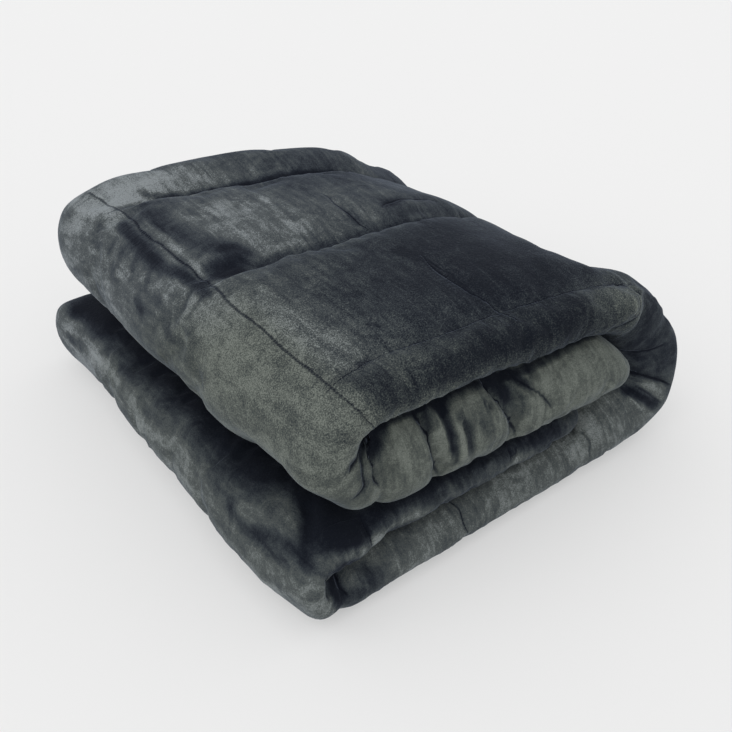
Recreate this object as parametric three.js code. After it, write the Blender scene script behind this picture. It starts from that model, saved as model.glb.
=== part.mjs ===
// A quilted plush comforter folded to a low stack: both ends are turned in to the middle,
// then the whole is folded once, so that four layers of the folded strip lie on each other.
// Millimetres, Z up. The folded rims of the layers face -Y, the two round folds face -X
// and the single wide fold faces +X. The stack stands on the floor, centred on the origin.
import * as THREE from "three";

const QUILT_SQUARE = 196;        // side of one quilted square
const GROOVE_REACH = 58;         // how far a lengthwise seam draws the fabric down on each side
const PULL_REACH = 26;           // how far a crosswise seam or tuck draws the strip in on each side
const THINNEST = 0.5;            // seams never draw the fabric in past this share of its thickness
const SKEW_RUN = 130;            // depth over which a section's skew grows to its full size
const BACK_RIM = 0.9;            // depth of the round back rim, as a share of the layer thickness
const BACK_BAND = 16;            // flat fabric kept between the last lengthwise seam and the back rim
const END_ROUNDING = 34;         // length over which a strip end rounds off to its edge
const END_EDGE = 0.2;            // thickness of that edge, as a share of the layer thickness
const SECTION_GAP = 20;          // most distance between two sections on the outer face
const FRONT_RIM_STEPS = 8;
const BACK_RIM_STEPS = 6;
const INNER_STEPS = 8;
const PLUSH_GREY = 0x4a5052;

// The lengthwise seams, from the one inside the front rim. Share is its part of the groove depth.
const LENGTHWISE_SEAMS = [
  { name: "along the front rim", y: 0, share: 0.4 },
  { name: "middle", y: QUILT_SQUARE, share: 0.9 },
  { name: "towards the back", y: 2 * QUILT_SQUARE, share: 1.25 },
];

// Where the outer face is sampled between two lengthwise seams, as shares of a square.
const SQUARE_SHARES = [0, 0.07, 0.19, 0.36, 0.64, 0.81, 0.93];

// Where a rounded strip end is sampled, as shares of its rounding.
const END_SHARES = [0, 0.03, 0.13, 0.3, 0.55, 1];

// The strip from its upper inner end, round the top left fold, along the top, down the wide fold,
// back along the floor and round the lower left fold to its lower inner end.
// x and z give the outer face of the strip, inX and inZ its inner face, front and back its two rims.
// skew is how far the strip stands to the right at the back of where it is at the front,
// pull how far a seam or tuck draws it in, groove how deep the lengthwise seams lie.
const STRIP = [
  { name: "upper end", x: 337, z: 98, inX: 326, inZ: 138, front: -40, back: 440, skew: -38 },
  { name: "upper nose", x: 296, z: 94, inX: 291, inZ: 166, front: -44, back: 445, skew: -30 },
  { name: "upper, third swell", x: 238, z: 94, inX: 238, inZ: 178, front: -46, back: 456, skew: -10 },
  { name: "upper, second seam", x: 184, z: 93, inX: 184, inZ: 184, front: -46, back: 466, pull: 6 },
  { name: "upper, second swell", x: 138, z: 93, inX: 138, inZ: 185, front: -47, back: 468 },
  { name: "upper, first seam", x: 92, z: 93, inX: 92, inZ: 185, front: -47, back: 468, pull: 6 },
  { name: "upper, first swell", x: 56, z: 93, inX: 56, inZ: 185, front: -46, back: 472 },
  { name: "tuck by the top fold", x: 22, z: 94, inX: 26, inZ: 185, front: -42, back: 476, pull: 6 },
  { name: "top fold, foot", x: -18, z: 112, inX: 20, inZ: 185, front: -39, back: 486, skew: -4 },
  { name: "top fold, belly", x: -46, z: 156, inX: 18, inZ: 186, front: -35, back: 492, skew: -9 },
  { name: "top fold, shoulder", x: -33, z: 209, inX: 18, inZ: 187, front: -34, back: 486, skew: -11 },
  { name: "seam at the fold", x: 0, z: 231, inX: 22, inZ: 188, front: -35, back: 474, skew: -5, pull: 3 },
  { name: "top, first square", x: 60, z: 236, inX: 60, inZ: 188, front: -35, back: 470, groove: 9 },
  { name: "top, middle", x: 140, z: 236, inX: 140, inZ: 188, front: -35, back: 466, groove: 11 },
  { name: "top seam", x: 197, z: 235, inX: 195, inZ: 187, front: -35, back: 456, pull: 3, groove: 12 },
  { name: "second square", x: 254, z: 230, inX: 246, inZ: 182, front: -35, back: 434, skew: -12, groove: 12 },
  { name: "top, last", x: 312, z: 219, inX: 292, inZ: 171, front: -35, back: 424, skew: -30, groove: 12 },
  { name: "top, nose", x: 352, z: 207, inX: 325, inZ: 156, front: -32, back: 420, skew: -38, groove: 10 },
  { name: "shoulder", x: 383, z: 192, inX: 340, inZ: 140, front: -16, back: 426, skew: -38, groove: 9 },
  { name: "seam", x: 426, z: 150, inX: 354, inZ: 116, front: -22, back: 440, skew: -34, pull: 3, groove: 8 },
  { name: "wide fold, belly", x: 445, z: 92, inX: 357, inZ: 99, front: -30, back: 466, skew: -26, groove: 6 },
  { name: "wide fold, low", x: 428, z: 38, inX: 352, inZ: 90, front: -36, back: 480, skew: -20, groove: 3 },
  { name: "wide fold, foot", x: 372, z: 3, inX: 338, inZ: 84, front: -38, back: 490, skew: -8 },
  { name: "floor, third seam", x: 321, z: 0, inX: 308, inZ: 74, front: -39, back: 496, pull: 4 },
  { name: "floor, drop", x: 285, z: 0, inX: 276, inZ: 51, front: -40, back: 498 },
  { name: "floor, second swell", x: 220, z: 0, inX: 220, inZ: 50, front: -41, back: 500 },
  { name: "floor, second seam", x: 135, z: 0, inX: 135, inZ: 50, front: -41, back: 500, pull: 4 },
  { name: "floor, first swell", x: 50, z: 0, inX: 50, inZ: 50, front: -40, back: 500 },
  { name: "tuck by the lower fold", x: -30, z: 0, inX: -18, inZ: 50, front: -46, back: 502, pull: 5 },
  { name: "lower fold, foot", x: -61, z: 14, inX: -26, inZ: 51, front: -49, back: 504 },
  { name: "lower fold, belly", x: -74, z: 44, inX: -28, inZ: 52, front: -47, back: 504 },
  { name: "lower fold, shoulder", x: -60, z: 74, inX: -26, inZ: 53, front: -42, back: 502, skew: -3 },
  { name: "lower fold, crown", x: -28, z: 87, inX: -14, inZ: 53, front: -34, back: 498, skew: -3 },
  { name: "lower, first seam", x: 16, z: 88, inX: 16, inZ: 53, front: -28, back: 494, pull: 3 },
  { name: "lower, first swell", x: 96, z: 88, inX: 96, inZ: 53, front: -28, back: 492 },
  { name: "lower, second seam", x: 182, z: 88, inX: 182, inZ: 53, front: -28, back: 490, pull: 3 },
  { name: "lower end", x: 284, z: 84, inX: 284, inZ: 60, front: -24, back: 482 },
].map((row) => ({ skew: 0, pull: 0, groove: 0, ...row }));
const LAST_ROW = STRIP.length - 1;
const SHAPE_COLUMNS = ["x", "z", "inX", "inZ", "front", "back", "skew", "groove"];

// How far along the middle of the strip each row of the table lies.
function rowPlaces() {
  const places = [0];
  for (let i = 1; i <= LAST_ROW; i += 1) {
    const alongX = STRIP[i].x + STRIP[i].inX - STRIP[i - 1].x - STRIP[i - 1].inX;
    const alongZ = STRIP[i].z + STRIP[i].inZ - STRIP[i - 1].z - STRIP[i - 1].inZ;
    places.push(places[i - 1] + Math.hypot(alongX, alongZ) / 2);
  }
  return places;
}

const PLACES = rowPlaces();
const STRIP_LENGTH = PLACES[LAST_ROW];

// The slope of one column between row i and the next.
function slopeAfter(column, i) {
  return (STRIP[i + 1][column] - STRIP[i][column]) / (PLACES[i + 1] - PLACES[i]);
}

// The slope of one column at row i, weighed by the distances to its two neighbours.
function slopeAt(column, i) {
  if (i === 0) return slopeAfter(column, 0);
  if (i === LAST_ROW) return slopeAfter(column, LAST_ROW - 1);
  const back = PLACES[i] - PLACES[i - 1];
  const ahead = PLACES[i + 1] - PLACES[i];
  return (slopeAfter(column, i - 1) * ahead + slopeAfter(column, i) * back) / (back + ahead);
}

// One column at a place along the strip, on a smooth curve through the rows.
function columnAt(column, place) {
  let i = 0;
  while (i < LAST_ROW - 1 && place > PLACES[i + 1]) i += 1;
  const run = PLACES[i + 1] - PLACES[i];
  const t = (place - PLACES[i]) / run;
  const fromHere = STRIP[i][column] * (1 + 2 * t) * (1 - t) ** 2;
  const fromNext = STRIP[i + 1][column] * (3 - 2 * t) * t ** 2;
  const leaving = slopeAt(column, i) * run * t * (1 - t) ** 2;
  const arriving = slopeAt(column, i + 1) * run * (t - 1) * t ** 2;
  return fromHere + fromNext + leaving + arriving;
}

// How strongly a seam at a distance draws the fabric in: one at the seam, nothing beyond its reach.
function drawIn(distance, reach) {
  return Math.max(0, 1 - Math.abs(distance) / reach) ** 2;
}

// The section of the strip at a place: its sizes, its outward direction, its pull and its end rounding.
function sectionAt(place) {
  const section = {};
  SHAPE_COLUMNS.forEach((column) => {
    section[column] = columnAt(column, place);
  });
  const acrossX = section.x - section.inX;
  const acrossZ = section.z - section.inZ;
  section.thick = Math.hypot(acrossX, acrossZ);
  section.outX = acrossX / section.thick;
  section.outZ = acrossZ / section.thick;
  section.midX = (section.x + section.inX) / 2;
  section.midZ = (section.z + section.inZ) / 2;
  section.pull = 0;
  STRIP.forEach((row, i) => {
    section.pull += row.pull * drawIn(place - PLACES[i], PULL_REACH);
  });
  const fromEnd = Math.min(place, STRIP_LENGTH - place);
  const bare = Math.max(0, 1 - fromEnd / END_ROUNDING);
  section.round = Math.max(Math.sqrt(1 - bare ** 2), END_EDGE);
  section.half = (section.thick / 2) * section.round;
  return section;
}

// The places of all sections: evenly along the outer face, and closer over both rounded ends.
function sectionPlaces() {
  const ends = END_SHARES.map((share) => share * END_ROUNDING);
  const places = [];
  for (let i = 0; i < LAST_ROW; i += 1) {
    const outerLength = Math.hypot(STRIP[i + 1].x - STRIP[i].x, STRIP[i + 1].z - STRIP[i].z);
    const steps = Math.ceil(outerLength / SECTION_GAP);
    const run = PLACES[i + 1] - PLACES[i];
    for (let k = 0; k < steps; k += 1) places.push(PLACES[i] + (run * k) / steps);
  }
  const middle = places.filter((p) => p > END_ROUNDING && p < STRIP_LENGTH - END_ROUNDING);
  return [...ends, ...middle, ...ends.map((distance) => STRIP_LENGTH - distance).reverse()];
}

// A point on the outer or inner face of a section: its depth y and its height over the strip's middle.
function facePoint(section, y, isOuter) {
  if (!isOuter) return { y, height: -section.half };
  let height = section.half - section.pull;
  LENGTHWISE_SEAMS.forEach((seam) => {
    height -= section.groove * seam.share * drawIn(y - seam.y, GROOVE_REACH);
  });
  return { y, height: Math.max(height, section.half * THINNEST) };
}

// A half-round rim between the two faces. It starts at depth y, reaches out sideways and runs
// from the inner face to the outer one, or the other way round.
function rim(section, y, reach, steps, isOuterFirst) {
  const points = [];
  for (let k = 0; k <= steps; k += 1) {
    const turn = (Math.PI * k) / steps - Math.PI / 2;
    const angle = isOuterFirst ? -turn : turn;
    const point = facePoint(section, y + reach * Math.cos(angle), angle > 0);
    points.push({ y: point.y, height: Math.abs(Math.sin(angle)) * point.height });
  }
  return points;
}

// The depth at which the faces end and the back rim starts.
function backRimStart(section) {
  const widest = section.back - 2 * QUILT_SQUARE - BACK_BAND;
  return section.back - Math.min(section.thick * BACK_RIM, widest);
}

// The outer face from the front rim to the back rim, sampled closely beside each lengthwise seam.
function outerFace(section) {
  const depths = [];
  const squares = LENGTHWISE_SEAMS.length - 1;
  for (let square = 0; square < squares; square += 1) {
    SQUARE_SHARES.forEach((share) => depths.push((square + share) * QUILT_SQUARE));
  }
  const lastSeam = squares * QUILT_SQUARE;
  depths.push(lastSeam, (lastSeam + backRimStart(section)) / 2);
  return depths.slice(1).map((y) => facePoint(section, y, true));
}

// The inner face, from the back rim to the front rim.
function innerFace(section) {
  const points = [];
  for (let k = 1; k < INNER_STEPS; k += 1) {
    points.push(facePoint(section, backRimStart(section) * (1 - k / INNER_STEPS), false));
  }
  return points;
}

// The closed ring of points round a section. Fabric that reaches the floor lies flat on it.
function ringAt(place) {
  const section = sectionAt(place);
  const backStart = backRimStart(section);
  const frontReach = section.front * section.round + section.pull;
  const backReach = (section.back - backStart) * section.round - section.pull;
  const ring = [
    ...rim(section, 0, frontReach, FRONT_RIM_STEPS, false),
    ...outerFace(section),
    ...rim(section, backStart, backReach, BACK_RIM_STEPS, true),
    ...innerFace(section),
  ];
  return ring.map((point) => {
    const skew = section.skew * THREE.MathUtils.smoothstep(point.y, 0, SKEW_RUN);
    const x = section.midX + skew + section.outX * point.height;
    const z = section.midZ + section.outZ * point.height;
    return [x, point.y, Math.max(z, 0)];
  });
}

// The triangles that close a strip end, as numbers of ring points. The outer and the inner half
// of the ring are walked from the front to the back together, whichever is nearer the front first.
function endTriangles(ring) {
  const front = FRONT_RIM_STEPS / 2;
  const back = ring.length - INNER_STEPS - BACK_RIM_STEPS / 2;
  const triangles = [];
  let outer = front;
  let inner = front;
  while (outer < back || inner !== back) {
    const innerNext = (inner - 1 + ring.length) % ring.length;
    const outerY = outer < back ? ring[outer + 1][1] : Infinity;
    const innerY = inner !== back ? ring[innerNext][1] : Infinity;
    const takesOuter = outerY <= innerY;
    triangles.push([inner, outer, takesOuter ? outer + 1 : innerNext]);
    if (takesOuter) outer += 1;
    else inner = innerNext;
  }
  return triangles.filter(([a, b, c]) => a !== b && b !== c && c !== a);
}

// Joins neighbouring rings by two triangles per gap and closes both strip ends.
function stripGeometry() {
  const rings = sectionPlaces().map(ringAt);
  const size = rings[0].length;
  const count = rings.length * size;
  const indices = [];
  for (let start = 0; start < count - size; start += size) {
    for (let k = 0; k < size; k += 1) {
      const here = start + k;
      const next = start + ((k + 1) % size);
      indices.push(here, here + size, next + size);
      indices.push(here, next + size, next);
    }
  }
  endTriangles(rings[0]).forEach(([a, b, c]) => indices.push(a, b, c));
  endTriangles(rings[rings.length - 1]).forEach(([a, b, c]) => {
    indices.push(count - size + a, count - size + c, count - size + b);
  });
  const geometry = new THREE.BufferGeometry();
  geometry.setAttribute("position", new THREE.Float32BufferAttribute(rings.flat(2), 3));
  geometry.setIndex(indices);
  geometry.computeVertexNormals();
  return geometry;
}

// Moves the folded stack so that it stands centred on the origin.
function centreOnFloor(geometry) {
  geometry.computeBoundingBox();
  const box = geometry.boundingBox;
  geometry.translate(-(box.min.x + box.max.x) / 2, -(box.min.y + box.max.y) / 2, -box.min.z);
  return geometry;
}

function comforter() {
  const material = new THREE.MeshStandardMaterial({ color: PLUSH_GREY, roughness: 0.95, metalness: 0 });
  material.name = "plush";
  const mesh = new THREE.Mesh(centreOnFloor(stripGeometry()), material);
  mesh.name = "comforter";
  return mesh;
}

const model = new THREE.Group();
model.name = "folded_comforter";
model.add(comforter());

export default model;
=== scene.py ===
import math

import bpy
import numpy as np
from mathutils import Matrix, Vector, noise


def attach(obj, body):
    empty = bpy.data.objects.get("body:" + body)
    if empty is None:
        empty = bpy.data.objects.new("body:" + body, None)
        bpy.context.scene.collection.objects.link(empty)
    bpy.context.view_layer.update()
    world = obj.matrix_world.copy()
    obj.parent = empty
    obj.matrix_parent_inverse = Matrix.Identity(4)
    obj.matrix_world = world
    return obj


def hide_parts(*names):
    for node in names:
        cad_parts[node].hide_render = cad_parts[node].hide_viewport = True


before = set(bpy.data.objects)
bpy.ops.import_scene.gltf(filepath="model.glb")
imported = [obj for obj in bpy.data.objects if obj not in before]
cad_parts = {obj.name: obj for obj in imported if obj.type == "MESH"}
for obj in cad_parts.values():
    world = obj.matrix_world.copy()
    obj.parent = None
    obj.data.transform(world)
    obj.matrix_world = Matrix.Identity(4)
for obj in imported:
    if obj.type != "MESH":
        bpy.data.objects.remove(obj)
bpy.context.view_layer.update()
mm = 0.001
print("frame loaded")

# the folded comforter, in millimetres from the crossing of the two front seams on the floor
comforter = {
    "piece": "comforter_plush",
    "centre": (184.4, 227.7),      # of the stack's box, which goes to the origin
    "square": 196,                 # side of one quilted square
    "seams": ((0, 0.4), (196, 1.0), (392, 1.35)),   # depth of each lengthwise seam, its share of the groove
    "wander": (                    # place along the strip, and how far behind its depth each seam lies there
        (405, 0, 0, 0), (430, 5, 1, -9), (455, 9, 5, -11), (478, 6, 8, -13), (510, 3, 3, -17),
        (552, 3, 3, -25), (584, 3, 2, -33), (606, 2, 2, -37), (641, 0, 1, -41), (676, 0, 0, -44),
        (720, 0, 2, -46), (900, 0, 2, -46),
    ),
    "grooveRise": (-6, 22),        # from the seam at the fold, where the grooves begin
    "frontReach": 14,              # the square in front bulges over a seam, the one behind slopes down to it
    "backReach": 60,
    "pullReach": 26,               # how far a crosswise seam draws the cover in on each side
    "thinnest": 0.5,               # share of a layer that a groove leaves
    "skewRun": 130,                # depth over which the lean of an end comes in
    "backRim": 0.9,                # how far the back rim rounds off, as a share of the layer
    "backBand": 16,                # flat cover between the last seam and the back rim
    "endRounding": 34,
    "endEdge": 0.2,                # share of the layer left at the very end
    "endShares": (0, 0.01, 0.03, 0.07, 0.13, 0.21, 0.3, 0.42, 0.55, 0.7, 0.84),   # sections of a rounded end
    "firstPlace": -6.8,            # of the strip's upper end, along its middle
    "quarter": 45,                 # nominal length of a quarter of a rim, for the surface map
    "lastStep": 20,                # from the last point of a ring to its first, for the surface map
    "sectionGap": 4.6,             # the mesh: along the strip, then each stretch of a ring in turn
    "rimSteps": 28,
    "squareSteps": 44,
    "bandSteps": 8,
    "backSteps": 16,
    "innerSteps": 24,
}

# x z: outer face, inX inZ: inner face, front back: the two rims, skew pull groove: as the seams draw it
strip = {
    "columns": ("x", "z", "inX", "inZ", "front", "back", "skew", "pull", "groove"),
    "rows": (
        (342, 98, 336, 146, -42, 440, -38, 0, 0),     # upper end
        (300, 94, 297, 171, -46, 445, -30, 0, 0),
        (225, 94, 226, 179, -44, 456, -8, 0, 0),
        (172, 93, 172, 184, -43, 466, 0, 3, 0),
        (122, 93, 122, 185, -45, 468, 0, 0, 0),
        (84, 93, 84, 185, -44, 468, 0, 3, 0),
        (48, 93, 48, 185, -44, 472, 0, 0, 0),
        (22, 94, 26, 185, -42, 476, 0, 6, 0),
        (-18, 112, 20, 185, -39, 486, -4, 0, 0),      # top fold
        (-46, 156, 18, 186, -35, 492, -9, 0, 0),
        (-33, 209, 18, 187, -34, 486, -11, 0, 0),
        (0, 231, 22, 188, -35, 474, -5, 0, 6),        # seam at the fold
        (60, 236, 60, 188, -35, 470, 0, 0, 9),
        (140, 236, 140, 188, -35, 466, 0, 0, 11),
        (190, 235, 188, 187, -35, 456, 0, 0, 12),     # second seam of the top
        (254, 230, 246, 182, -35, 434, -12, 0, 12),
        (312, 219, 292, 171, -35, 424, -30, 0, 12),
        (352, 207, 325, 156, -32, 420, -38, 0, 10),   # top, nose
        (378, 191, 338, 140, -16, 426, -38, 0, 9),
        (420, 148, 354, 116, -20, 440, -34, 3, 8),
        (442, 92, 357, 99, -28, 466, -26, 0, 6),      # wide fold, belly
        (428, 38, 352, 90, -36, 480, -20, 0, 3),
        (372, 3, 338, 84, -33, 490, -8, 0, 0),
        (325, 0, 308, 74, -36, 496, 0, 0, 0),         # floor
        (285, 0, 284, 54, -34, 498, 0, 1.5, 0),
        (205, 0, 205, 50, -36, 500, 0, 0, 0),
        (119, 0, 119, 50, -40, 500, 0, 1.5, 0),
        (45, 0, 45, 50, -41, 500, 0, 0, 0),
        (-30, 0, -18, 50, -42, 502, 0, 3, 0),
        (-59, 14, -26, 51, -45, 504, 2, 0, 0),        # lower fold
        (-72, 44, -28, 52, -44, 504, 2, 0, 0),
        (-60, 74, -26, 53, -42, 502, -3, 0, 0),
        (-28, 87, -14, 53, -34, 498, -3, 0, 0),
        (16, 88, 16, 53, -28, 494, 0, 3, 0),
        (96, 88, 96, 53, -28, 492, 0, 0, 0),
        (190, 88, 190, 53, -28, 490, 0, 3, 0),
        (296, 86, 296, 62, -25, 482, 0, 0, 0),        # lower end
    ),
    # rows where one stretch of the strip ends and the next begins, counted from 0
    "marks": {"upperInner": 6, "foldSeam": 11, "nose": 17, "belly": 21, "floor": 22, "lowerFold": 27,
              "lowerInner": 32},
}


def smoothStep(value, low, high):
    t = np.clip((value - low) / (high - low), 0, 1)
    return t * t * (3 - 2 * t)


def drawIn(distance, reach):
    return np.maximum(0, 1 - np.abs(distance) / reach) ** 2


def curveBetween(start, end, startSlope, endSlope, span, t):
    # a cubic over the span, with its slope given at both ends, t from 0 to 1
    return (start * (1 + 2 * t) * (1 - t) ** 2 + end * (3 - 2 * t) * t ** 2
            + startSlope * span * t * (1 - t) ** 2 + endSlope * span * (t - 1) * t ** 2)


def rowPlaces(rows):
    middle = (rows[:, 0:2] + rows[:, 2:4]) / 2
    run = np.cumsum(np.linalg.norm(np.diff(middle, axis=0), axis=1))
    return comforter["firstPlace"] + np.concatenate([[0], run])


rows = np.array(strip["rows"], float)
places = rowPlaces(rows)
pulls = rows[:, strip["columns"].index("pull")]
wander = np.array(comforter["wander"], float)
foldPlace = places[strip["marks"]["foldSeam"]]
lastSeam = comforter["seams"][-1][0]
fullRing = (comforter["rimSteps"] + 2 * comforter["squareSteps"] + comforter["bandSteps"]
            + comforter["backSteps"] + comforter["innerSteps"])


def passed(where, mark, rowsOn=1):
    # 0 before a marked row of the strip, 1 from a row that follows it
    row = strip["marks"][mark]
    return smoothStep(where, places[row], places[row + rowsOn])


def behindSeam(where, y, k):
    # how far behind lengthwise seam k a point lies, y being its depth from the front seam
    return y - comforter["seams"][k][0] - np.interp(where, wander[:, 0], wander[:, k + 1])[:, None]


def columnsAt(where):
    # a smooth curve through the rows of the table
    run = np.diff(places)
    after = np.diff(rows, axis=0) / run[:, None]
    inner = (after[:-1] * run[1:, None] + after[1:] * run[:-1, None]) / (run[:-1] + run[1:])[:, None]
    slopes = np.vstack([after[:1], inner, after[-1:]])
    i = np.clip(np.searchsorted(places, where, "right") - 1, 0, len(places) - 2)
    t = ((where - places[i]) / run[i])[:, None]
    return curveBetween(rows[i], rows[i + 1], slopes[i], slopes[i + 1], run[i][:, None], t)


def sectionPlaces():
    # even steps along the outer face, an even number in each row's run
    size = comforter["endRounding"]
    ends = np.array(comforter["endShares"]) * size
    found = []
    for i in range(len(rows) - 1):
        length = max(math.dist(rows[i + 1, 0:2], rows[i, 0:2]), places[i + 1] - places[i])
        steps = 2 * max(2, math.ceil(length / comforter["sectionGap"] / 2))
        found += list(places[i] + (places[i + 1] - places[i]) * np.arange(steps) / steps)
    found = np.array(found)
    middle = found[(found >= places[0] + size) & (found <= places[-1] - size)]
    if len(middle) % 2 == 0:       # the simulation takes every second section, the last one included
        middle = middle[1:]
    return np.concatenate([places[0] + ends, middle, (places[-1] - ends)[::-1]])


def ringGrid(where):
    # every section's ring: the front rim, the outer face, the back rim, the inner face
    c = comforter
    x, z, inX, inZ, front, back, skew, _, groove = columnsAt(where).T[:, :, None]
    across = np.hypot(x - inX, z - inZ)
    outX, outZ = (x - inX) / across, (z - inZ) / across
    pull = sum(depth * drawIn(where - place, c["pullReach"]) for depth, place in zip(pulls, places))[:, None]
    fromEnd = np.minimum(where - places[0], places[-1] - where)
    bare = np.maximum(0, 1 - fromEnd / c["endRounding"])
    rounding = np.maximum(np.sqrt(1 - bare ** 2), c["endEdge"])[:, None]
    half = across / 2 * rounding
    riseFrom, riseTo = c["grooveRise"]
    groove = np.maximum(groove, 0) * smoothStep(where, foldPlace + riseFrom, foldPlace + riseTo)[:, None]
    backStart = back - np.minimum(across * c["backRim"], back - lastSeam - c["backBand"])
    frontReach = front * rounding + pull
    backReach = (back - backStart) * rounding - pull

    def outer(y):
        height = half - pull
        for k, (_, depth) in enumerate(c["seams"]):
            behind = behindSeam(where, y, k)
            reach = np.where(behind < 0, c["frontReach"], c["backReach"]) if k else c["backReach"]
            height = height - groove * depth * drawIn(behind, reach)
        return np.maximum(height, half * c["thinnest"])

    def rimHeight(turn, y):
        return np.where(turn > 0, np.abs(np.sin(turn)) * outer(y), -np.abs(np.sin(turn)) * half)

    turn = np.pi * np.arange(c["rimSteps"] + 1) / c["rimSteps"] - np.pi / 2
    y = frontReach * np.cos(turn)
    depths, heights = [y], [rimHeight(turn, y)]
    mapped = [np.broadcast_to(c["quarter"] * turn / (np.pi / 2), y.shape)]
    share = np.arange(1, c["squareSteps"] + 1) / c["squareSteps"]
    y = np.concatenate([share, 1 + share]) * c["square"]
    y = np.broadcast_to(y, (len(where), len(y)))
    band = np.arange(1, c["bandSteps"]) / c["bandSteps"]
    y = np.concatenate([y, lastSeam + (backStart - lastSeam) * band], axis=1)
    depths.append(y)
    heights.append(outer(y))
    mapped.append(c["quarter"] + y)
    turn = np.pi / 2 - np.pi * np.arange(c["backSteps"] + 1) / c["backSteps"]
    y = backStart + backReach * np.cos(turn)
    depths.append(y)
    heights.append(rimHeight(turn, y))
    mapped.append(c["quarter"] + backStart + c["quarter"] * (1 - turn / (np.pi / 2)))
    y = backStart * (1 - np.arange(1, c["innerSteps"]) / c["innerSteps"])
    depths.append(y)
    heights.append(-half + 0 * y)
    mapped.append(c["quarter"] * 3 + 2 * backStart - y)
    y, height, mapped = (np.concatenate(part, axis=1) for part in (depths, heights, mapped))
    lean = skew * smoothStep(y, 0, c["skewRun"])
    points = np.stack([(x + inX) / 2 + lean + outX * height, y,
                       np.maximum((z + inZ) / 2 + outZ * height, 0)], axis=2)
    return points, mapped


def endFaces(ring):
    # closes a strip end: walks its outer and inner halves together, from the front to the back
    c = comforter
    frontMost = c["rimSteps"] // 2 * len(ring) // fullRing
    backMost = (fullRing - c["innerSteps"] - c["backSteps"] // 2) * len(ring) // fullRing
    faces = []
    outer = inner = frontMost
    while outer < backMost or inner != backMost:
        innerNext = (inner - 1) % len(ring)
        outerY = ring[outer + 1][1] if outer < backMost else math.inf
        innerY = ring[innerNext][1] if inner != backMost else math.inf
        nextOne = outer + 1 if outerY <= innerY else innerNext
        if len({inner, outer, nextOne}) == 3:
            faces.append((inner, outer, nextOne))
        if outerY <= innerY:
            outer += 1
        else:
            inner = innerNext
    return faces


def gridMesh(name, grid, mapped=None):
    sections, size = grid.shape[:2]
    here = np.arange((sections - 1) * size).reshape(sections - 1, size)
    following = np.roll(here, -1, axis=1)
    quads = np.stack([here, here + size, following + size, following], axis=2).reshape(-1, 4)
    faces = quads.tolist() + endFaces(grid[0])
    last = (sections - 1) * size
    faces += [(last + a, last + b, last + d) for a, d, b in endFaces(grid[-1])]
    middle = np.array([*comforter["centre"], 0])
    mesh = bpy.data.meshes.new(name)
    mesh.from_pydata(((grid.reshape(-1, 3) - middle) * mm).tolist(), [], faces)
    if mapped is not None:         # the map runs on past the last point of each ring instead of back to 0
        corners = np.empty(len(mesh.loops), np.int32)
        mesh.loops.foreach_get("vertex_index", corners)
        layer = mesh.uv_layers.new(name="strip")
        flat = mapped.reshape(-1, 2)[corners]
        wraps = np.zeros(len(corners), bool)
        wraps[:len(quads) * 4] = np.tile([False, False, True, True], len(quads))
        wraps &= corners % size == 0
        lastPoints = mapped.reshape(sections, size, 2)[corners[wraps] // size, -1, 1]
        flat[wraps, 1] = lastPoints + comforter["lastStep"]
        layer.data.foreach_set("uv", (flat * mm).ravel())
    mesh.validate()
    mesh.update()
    return mesh


where = sectionPlaces()
grid, across = ringGrid(where)
sectionCount, ringCount = grid.shape[:2]
print("strip laid out:", sectionCount, "sections of", ringCount, "points")

# the filling puffs the cover up between the seams: a cloth simulation on every second point
puff = {
    "pressure": 3.5,
    "growth": 0.03,          # how much longer the cover is than the form it starts from
    "frames": 20,
    "cloth": {"quality": 6, "mass": 0.15, "tension_stiffness": 12, "compression_stiffness": 12,
              "shear_stiffness": 4, "bending_stiffness": 0.15, "pin_stiffness": 1.0},
    "levels": 20,            # steps of the held weight
    "seamHold": 8,           # how far beside a seam the cover is held, and how firmly a crosswise one holds
    "crossHold": 0.9,
    "endHold": 10,
    "frontFree": (8, 40),    # the cover comes free of its rims over these stretches
    "backFree": (440, 470),
    "innerRun": 40,
    "quiltRise": (6, 40),    # from the seam at the fold
    "floorHold": 0.8,
    "floorFree": (30, 60),
    "outMost": 7,
    "inMost": 3,
    "slideMost": 4,
    "floorClear": (2, 22),   # height over which the puffing comes in above the floor
}


def normalsOf(points):
    along = np.gradient(points, axis=0)
    around = (np.roll(points, -1, axis=1) - np.roll(points, 1, axis=1)) / 2
    normal = np.cross(along, around)
    length = np.linalg.norm(normal, axis=2, keepdims=True)
    return normal / np.maximum(length, 1e-9)


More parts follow.
